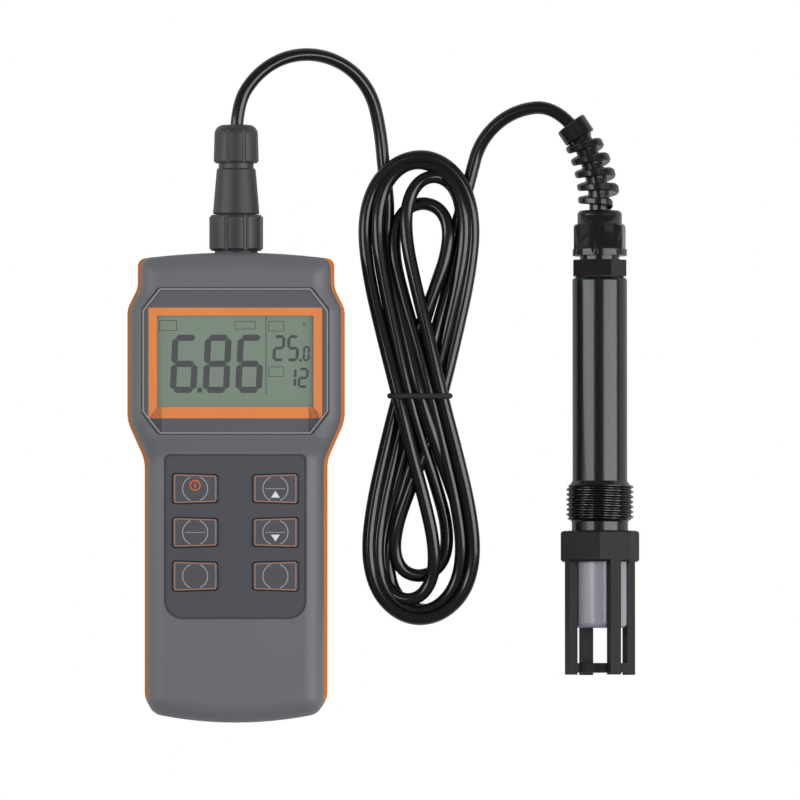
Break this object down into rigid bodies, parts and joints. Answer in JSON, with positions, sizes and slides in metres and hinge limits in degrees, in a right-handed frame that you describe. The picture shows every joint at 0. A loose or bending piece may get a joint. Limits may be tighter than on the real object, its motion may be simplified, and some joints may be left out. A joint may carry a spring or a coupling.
{
  "type": "ph and conductivity meter",
  "caption": "Handheld meter with a display window and keypad, joined by a tied cable to a cylindrical dipping probe with a legged guard and a wetting cap.",
  "frame": {"origin": "centre of the meter's flat back face, on which it lies", "axes": "+Z out of the meter's face, +Y along the meter towards its cable socket, +X to the right seen from the front, where the probe lies"},
  "size_m": [0.1847, 0.2434, 0.0434],
  "materials": {
    "case_grey": "fine-grained satin moulding",
    "band_orange": "soft satin moulding",
    "window_clear": "clear polished acrylic",
    "bezel_grey": "printed satin",
    "frame_orange": "printed satin",
    "lcd": "reflective grey-green display glass",
    "inner_white": "plain moulding",
    "inner_black": "plain moulding",
    "circuit": "lacquered board",
    "chips": "moulded packages",
    "panel_grey": "satin film",
    "key_grey": "satin moulding",
    "rubber_black": "moulded rubber",
    "rubber_grey": "moulded rubber",
    "contact_metal": "plated",
    "screw_steel": "plain steel",
    "cell_can": "plain sleeve",
    "plug_black": "satin moulding",
    "pin_brass": "plated pin",
    "cable_black": "glossy jacket",
    "probe_black": "glossy moulding",
    "cap_grey": "translucent grey moulding",
    "bulb_glass": "blown glass",
    "steel_pin": "polished steel",
    "junction_white": "porous plug"
  },
  "bodies": {
    "instrument": {"front_shell": "case_grey", "rear_shell": "case_grey", "side_band": "band_orange", "display_window": "window_clear", "window_bezel": "bezel_grey", "display_frame": "frame_orange", "lcd_panel": "lcd", "lcd_holder": "inner_white", "lcd_connectors": "rubber_grey", "backlight": "inner_white", "main_board": "circuit", "board_components": "chips", "board_screws": "screw_steel", "keypad_panel": "panel_grey", "key_mat": "rubber_grey", "key_contacts": "contact_metal", "buzzer": "inner_black", "battery_tray": "inner_black", "batteries": "cell_can", "battery_contacts": "contact_metal", "battery_springs": "contact_metal", "shell_screws": "screw_steel", "socket_shell": "plug_black", "socket_insert": "plug_black", "socket_pins": "pin_brass", "socket_seal": "rubber_black", "signal_ribbon": "inner_white", "plug_body": "plug_black", "plug_insert": "plug_black", "plug_face_seal": "rubber_black", "plug_cable_seal": "rubber_black", "cable_lead": "cable_black", "cable_hank": "cable_black", "cable_tail": "cable_black", "cable_tie": "cable_black", "gland_nut": "probe_black", "gland_seal": "rubber_black", "gland_body": "probe_black", "gland_o_ring": "rubber_black", "probe_tube": "probe_black", "thread_adapter": "probe_black", "sensor_head": "probe_black", "ph_bulb": "bulb_glass", "conductivity_pins": "steel_pin", "temperature_sensor": "steel_pin", "reference_junction": "junction_white", "cap_seal": "rubber_black"},
    "battery_cover": {"battery_cover": "case_grey", "battery_cover_screws": "screw_steel"},
    "coupling_ring": {"coupling_ring": "plug_black"},
    "plug_gland_nut": {"plug_gland_nut": "plug_black"},
    "guard_cage": {"guard_cage": "probe_black"},
    "wetting_cap": {"wetting_cap": "cap_grey"},
    "key_power": {"key_power": "key_grey"},
    "key_up": {"key_up": "key_grey"},
    "key_calibrate": {"key_calibrate": "key_grey"},
    "key_down": {"key_down": "key_grey"},
    "key_mode": {"key_mode": "key_grey"},
    "key_enter": {"key_enter": "key_grey"}
  },
  "joints": [
    {"name": "key_power_press", "type": "slide", "parent": "instrument", "child": "key_power", "axis": [0, 0, -1], "range_m": [0, 0.0005], "stiffness_N_per_m": 3000},
    {"name": "key_up_press", "type": "slide", "parent": "instrument", "child": "key_up", "axis": [0, 0, -1], "range_m": [0, 0.0005], "stiffness_N_per_m": 3000},
    {"name": "key_calibrate_press", "type": "slide", "parent": "instrument", "child": "key_calibrate", "axis": [0, 0, -1], "range_m": [0, 0.0005], "stiffness_N_per_m": 3000},
    {"name": "key_down_press", "type": "slide", "parent": "instrument", "child": "key_down", "axis": [0, 0, -1], "range_m": [0, 0.0005], "stiffness_N_per_m": 3000},
    {"name": "key_mode_press", "type": "slide", "parent": "instrument", "child": "key_mode", "axis": [0, 0, -1], "range_m": [0, 0.0005], "stiffness_N_per_m": 3000},
    {"name": "key_enter_press", "type": "slide", "parent": "instrument", "child": "key_enter", "axis": [0, 0, -1], "range_m": [0, 0.0005], "stiffness_N_per_m": 3000},
    {"name": "coupling_turn", "type": "hinge", "parent": "instrument", "child": "coupling_ring", "pos_m": [0, 0.0918, 0.022], "axis": [0, 1, 0], "continuous": true},
    {"name": "plug_nut_turn", "type": "hinge", "parent": "instrument", "child": "plug_gland_nut", "pos_m": [0, 0.1238, 0.022], "axis": [0, 1, 0], "continuous": true},
    {"name": "cover_lift", "type": "slide", "parent": "instrument", "child": "battery_cover", "axis": [0, 0, -1], "range_m": [0, 0.03]},
    {"name": "guard_off", "type": "slide", "parent": "instrument", "child": "guard_cage", "axis": [0, -0.9993, 0.0376], "range_m": [0, 0.055]},
    {"name": "cap_off", "type": "slide", "parent": "instrument", "child": "wetting_cap", "axis": [0, -0.9993, 0.0376], "range_m": [0, 0.008]}
  ]
}
